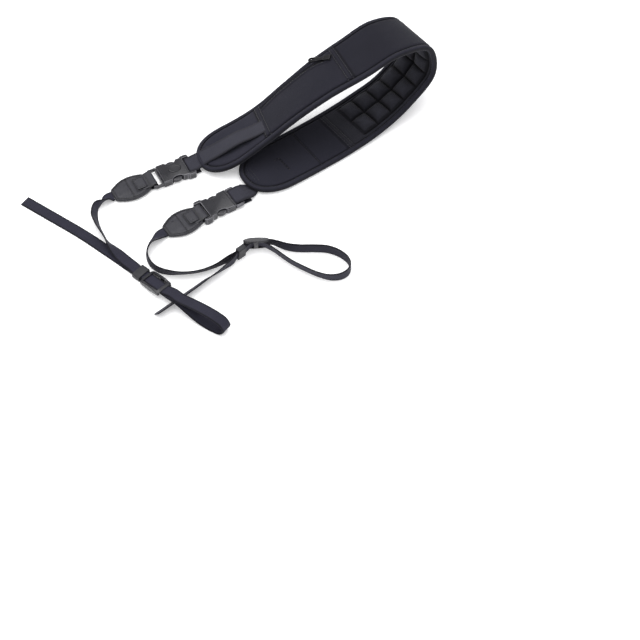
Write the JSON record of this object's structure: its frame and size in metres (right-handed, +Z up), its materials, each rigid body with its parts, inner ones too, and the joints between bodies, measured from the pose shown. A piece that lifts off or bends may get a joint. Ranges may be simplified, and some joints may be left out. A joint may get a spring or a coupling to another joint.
{
  "type": "camera neck strap",
  "caption": "Padded camera neck strap lying curled over, with side-release buckles, leather tabs and adjustable webbing ends.",
  "frame": {"origin": "centre of the footprint, on the surface that the strap lies on", "axes": "+X along the padded band towards its bend, +Y towards the band's far edge, +Z up"},
  "size_m": [0.4224, 0.2694, 0.0961],
  "materials": {
    "nylon": "matte woven nylon over foam",
    "webbing": "ribbed nylon webbing",
    "leather": "fine-grained, slight sheen",
    "plastic": "moulded satin"
  },
  "bodies": {
    "root": {"pad": "nylon", "webbing_a": "webbing", "webbing_b": "webbing", "strap_a": "webbing", "strap_b": "webbing", "tab_a": "leather", "tab_b": "leather", "keeper_a": "leather", "keeper_b": "leather", "buckle_a_female": "plastic", "buckle_a_male": "plastic", "buckle_b_female": "plastic", "buckle_b_male": "plastic", "slider_a": "plastic", "slider_b": "plastic", "zip_pull": "plastic"}
  },
  "joints": []
}
